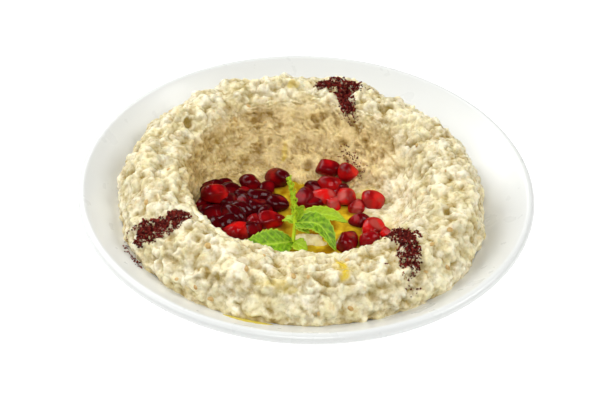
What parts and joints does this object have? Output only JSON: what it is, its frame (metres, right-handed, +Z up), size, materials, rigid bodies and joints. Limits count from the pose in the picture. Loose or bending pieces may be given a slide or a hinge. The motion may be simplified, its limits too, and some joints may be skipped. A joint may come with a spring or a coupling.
{
  "type": "plate of baba ganoush",
  "caption": "Ring of lumpy aubergine dip on a deep white plate, its well filled with oil, pomegranate seeds and a sprig of mint, with pinches of sumac on the rim of the ring.",
  "frame": {"origin": "middle of the plate's foot ring, on the surface that the plate stands on", "axes": "+Z up, along the plate's own axis; -Y faces the eater and +X is to the eater's right"},
  "size_m": [0.21, 0.21, 0.0438],
  "materials": {
    "porcelain": "glossy white glaze",
    "aubergine_dip": "moist, curdled, cream",
    "olive_oil": "clear golden liquid",
    "pomegranate": "wet, glossy, translucent red",
    "mint": "fresh leaf, satin"
  },
  "bodies": {
    "root": {"plate": "porcelain", "dip": "aubergine_dip", "olive_oil": "olive_oil", "pomegranate_left": "pomegranate", "pomegranate_right": "pomegranate", "pomegranate_seed_1": "pomegranate", "pomegranate_seed_2": "pomegranate", "pomegranate_seed_3": "pomegranate", "pomegranate_seed_4": "pomegranate", "pomegranate_seed_5": "pomegranate", "pomegranate_seed_6": "pomegranate", "pomegranate_seed_7": "pomegranate", "mint_sprig": "mint"}
  },
  "joints": []
}
